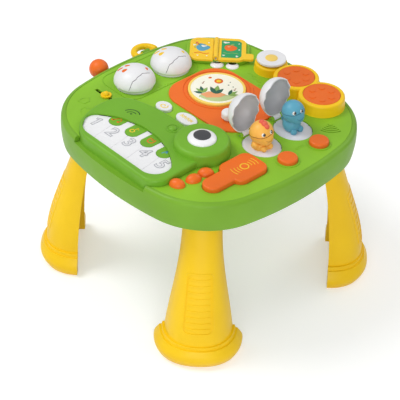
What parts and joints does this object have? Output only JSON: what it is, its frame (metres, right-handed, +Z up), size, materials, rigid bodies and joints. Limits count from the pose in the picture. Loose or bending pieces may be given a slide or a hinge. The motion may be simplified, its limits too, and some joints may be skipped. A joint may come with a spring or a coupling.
{
  "type": "musical activity table",
  "caption": "Toddler's activity table with a crocodile piano, turntable, drums, pop-up eggs, book and push buttons on four splayed legs",
  "frame": {"origin": "on the floor, under the middle of the overall width from the edge ball to the right-hand feet", "axes": "+Z up; the piano side faces -Y; the drums are at +Y; the edge ball and pull ring are at -X; the pop-up eggs are towards +X"},
  "size_m": [0.398, 0.3772, 0.3146],
  "materials": {
    "top_green": "satin",
    "skirt_green": "satin",
    "croc_green": "satin",
    "yellow": "satin",
    "orange": "satin",
    "white": "satin",
    "grey": "satin",
    "dark": "satin",
    "cream": "satin",
    "blue": "satin",
    "chick": "satin",
    "red": "satin",
    "page_green": "satin",
    "steel": "plain",
    "board": "satin",
    "black": "satin",
    "silicone": "satin"
  },
  "bodies": {
    "table": {"leg_front_right": "yellow", "leg_back_right": "yellow", "leg_back_left": "yellow", "leg_front_left": "yellow", "skirt": "skirt_green", "top_panel": "top_green", "base_cover": "skirt_green", "battery_door": "skirt_green", "battery_cells": "black", "battery_contacts": "steel", "base_screws": "steel", "circuit_board": "board", "rubber_domes": "silicone", "speaker_driver": "black", "piano_body": "croc_green", "key_rod": "steel", "eye_white": "white", "eye_pupil": "dark", "crest_beads": "orange", "turntable_deck": "orange", "drum_frame": "yellow", "book_pad": "top_green", "book_cover": "yellow", "face_eyes": "white", "hinge_pins": "steel"},
    "white_key_1": {"white_key_1": "white"},
    "white_key_2": {"white_key_2": "white"},
    "white_key_3": {"white_key_3": "white"},
    "white_key_4": {"white_key_4": "white"},
    "white_key_5": {"white_key_5": "white"},
    "note_key_1": {"note_key_1": "croc_green"},
    "note_key_2": {"note_key_2": "croc_green"},
    "note_key_3": {"note_key_3": "croc_green"},
    "note_key_4": {"note_key_4": "croc_green"},
    "pop_button_left": {"pop_button_left": "orange"},
    "pop_button_right": {"pop_button_right": "orange"},
    "egg_button_round": {"egg_button_round": "white"},
    "egg_button_oval": {"egg_button_oval": "white"},
    "egg_dome_left": {"egg_dome_left": "white"},
    "egg_dome_right": {"egg_dome_right": "white"},
    "drum_pad_left": {"drum_pad_left": "orange"},
    "drum_pad_right": {"drum_pad_right": "orange"},
    "fried_egg": {"fried_egg_pad": "white", "egg_yolk": "yellow"},
    "slider": {"slider_knob": "yellow"},
    "disc": {"picture_disc": "cream", "disc_ring": "yellow"},
    "tone_arm": {"tone_arm": "white", "tone_arm_tip": "yellow"},
    "book_leaf": {"book_leaf": "page_green"},
    "chick_lid": {"chick_lid": "white"},
    "chick_platform": {"chick_platform": "grey", "chick_figure": "chick", "chick_comb": "red"},
    "dino_lid": {"dino_lid": "white"},
    "dino_platform": {"dino_platform": "grey", "dino_figure": "blue"},
    "hammer": {"hammer_lever": "orange"},
    "pull_ring": {"pull_ring": "yellow"},
    "ball_lever": {"ball_lever": "orange"}
  },
  "joints": [
    {"name": "white_key_1_press", "type": "hinge", "parent": "table", "child": "white_key_1", "pos_m": [0.01046, -0.088, 0.254], "axis": [1, 0, 0], "range_deg": [0, 2.2], "stiffness_Nm_per_rad": 0.2, "springref_deg": -5.73},
    {"name": "white_key_2_press", "type": "hinge", "parent": "table", "child": "white_key_2", "pos_m": [0.01046, -0.088, 0.254], "axis": [1, 0, 0], "range_deg": [0, 2.2], "stiffness_Nm_per_rad": 0.2, "springref_deg": -5.73},
    {"name": "white_key_3_press", "type": "hinge", "parent": "table", "child": "white_key_3", "pos_m": [0.01046, -0.088, 0.254], "axis": [1, 0, 0], "range_deg": [0, 2.2], "stiffness_Nm_per_rad": 0.2, "springref_deg": -5.73},
    {"name": "white_key_4_press", "type": "hinge", "parent": "table", "child": "white_key_4", "pos_m": [0.01046, -0.088, 0.254], "axis": [1, 0, 0], "range_deg": [0, 2.2], "stiffness_Nm_per_rad": 0.2, "springref_deg": -5.73},
    {"name": "white_key_5_press", "type": "hinge", "parent": "table", "child": "white_key_5", "pos_m": [0.01046, -0.088, 0.254], "axis": [1, 0, 0], "range_deg": [0, 2.2], "stiffness_Nm_per_rad": 0.2, "springref_deg": -5.73},
    {"name": "note_key_1_press", "type": "hinge", "parent": "table", "child": "note_key_1", "pos_m": [0.01046, -0.088, 0.254], "axis": [1, 0, 0], "range_deg": [0, 4], "stiffness_Nm_per_rad": 0.1, "springref_deg": -5.73},
    {"name": "note_key_2_press", "type": "hinge", "parent": "table", "child": "note_key_2", "pos_m": [0.01046, -0.088, 0.254], "axis": [1, 0, 0], "range_deg": [0, 4], "stiffness_Nm_per_rad": 0.1, "springref_deg": -5.73},
    {"name": "note_key_3_press", "type": "hinge", "parent": "table", "child": "note_key_3", "pos_m": [0.01046, -0.088, 0.254], "axis": [1, 0, 0], "range_deg": [0, 4], "stiffness_Nm_per_rad": 0.1, "springref_deg": -5.73},
    {"name": "note_key_4_press", "type": "hinge", "parent": "table", "child": "note_key_4", "pos_m": [0.01046, -0.088, 0.254], "axis": [1, 0, 0], "range_deg": [0, 4], "stiffness_Nm_per_rad": 0.1, "springref_deg": -5.73},
    {"name": "pop_button_left_press", "type": "slide", "parent": "table", "child": "pop_button_left", "axis": [0, 0, -1], "range_m": [0, 0.0025], "stiffness_N_per_m": 200, "springref_m": -0.004},
    {"name": "pop_button_right_press", "type": "slide", "parent": "table", "child": "pop_button_right", "axis": [0, 0, -1], "range_m": [0, 0.0025], "stiffness_N_per_m": 200, "springref_m": -0.004},
    {"name": "egg_button_round_press", "type": "slide", "parent": "table", "child": "egg_button_round", "axis": [0, 0, -1], "range_m": [0, 0.0025], "stiffness_N_per_m": 200, "springref_m": -0.004},
    {"name": "egg_button_oval_press", "type": "slide", "parent": "table", "child": "egg_button_oval", "axis": [0, 0, -1], "range_m": [0, 0.0025], "stiffness_N_per_m": 200, "springref_m": -0.004},
    {"name": "egg_dome_left_press", "type": "slide", "parent": "table", "child": "egg_dome_left", "axis": [0, 0, -1], "range_m": [0, 0.0018], "stiffness_N_per_m": 400, "springref_m": -0.004},
    {"name": "egg_dome_right_press", "type": "slide", "parent": "table", "child": "egg_dome_right", "axis": [0, 0, -1], "range_m": [0, 0.0018], "stiffness_N_per_m": 400, "springref_m": -0.004},
    {"name": "drum_pad_left_press", "type": "slide", "parent": "table", "child": "drum_pad_left", "axis": [0, 0, -1], "range_m": [0, 0.0025], "stiffness_N_per_m": 400, "springref_m": -0.004},
    {"name": "drum_pad_right_press", "type": "slide", "parent": "table", "child": "drum_pad_right", "axis": [0, 0, -1], "range_m": [0, 0.0025], "stiffness_N_per_m": 400, "springref_m": -0.004},
    {"name": "fried_egg_press", "type": "slide", "parent": "table", "child": "fried_egg", "axis": [0, 0, -1], "range_m": [0, 0.0025], "stiffness_N_per_m": 300, "springref_m": -0.004},
    {"name": "slider_travel", "type": "slide", "parent": "table", "child": "slider", "axis": [1, 0, 0], "range_m": [-0.0175, 0.0105]},
    {"name": "disc_spin", "type": "hinge", "parent": "table", "child": "disc", "pos_m": [-0.02354, 0.046, 0.254], "axis": [0, 0, 1], "continuous": true},
    {"name": "tone_arm_swing", "type": "hinge", "parent": "table", "child": "tone_arm", "pos_m": [0.03746, 0.01, 0.258], "axis": [0, 0, 1], "range_deg": [-8, 25]},
    {"name": "book_leaf_turn", "type": "hinge", "parent": "table", "child": "book_leaf", "pos_m": [-0.0949, 0.11102, 0.2611], "axis": [0.7071, -0.7071, 0], "range_deg": [0, 160]},
    {"name": "chick_lid_close", "type": "hinge", "parent": "table", "child": "chick_lid", "pos_m": [0.07656, 0.0045, 0.2544], "axis": [0, 1, 0], "range_deg": [0, 90]},
    {"name": "chick_platform_sink", "type": "slide", "parent": "table", "child": "chick_platform", "axis": [0, 0, -1], "range_m": [0, 0.026]},
    {"name": "dino_lid_close", "type": "hinge", "parent": "table", "child": "dino_lid", "pos_m": [0.07656, 0.063, 0.2544], "axis": [0, 1, 0], "range_deg": [0, 90]},
    {"name": "dino_platform_sink", "type": "slide", "parent": "table", "child": "dino_platform", "axis": [0, 0, -1], "range_m": [0, 0.026]},
    {"name": "hammer_rock", "type": "hinge", "parent": "table", "child": "hammer", "pos_m": [0.13246, -0.11, 0.244], "axis": [-1, 0, 0], "range_deg": [0, 2.5], "stiffness_Nm_per_rad": 1, "springref_deg": -5.73},
    {"name": "pull_ring_flip", "type": "hinge", "parent": "table", "child": "pull_ring", "pos_m": [-0.17454, 0.046, 0.242], "axis": [0, 1, 0], "range_deg": [-70, 70]},
    {"name": "ball_lever_rock", "type": "hinge", "parent": "table", "child": "ball_lever", "pos_m": [-0.15654, -0.033, 0.242], "axis": [0, 1, 0], "range_deg": [-10, 10]}
  ],
  "couplings": [
    {"joint": "chick_platform_sink", "follows": "chick_lid_close", "m_per_rad": 0.016552},
    {"joint": "dino_platform_sink", "follows": "dino_lid_close", "m_per_rad": 0.016552}
  ]
}
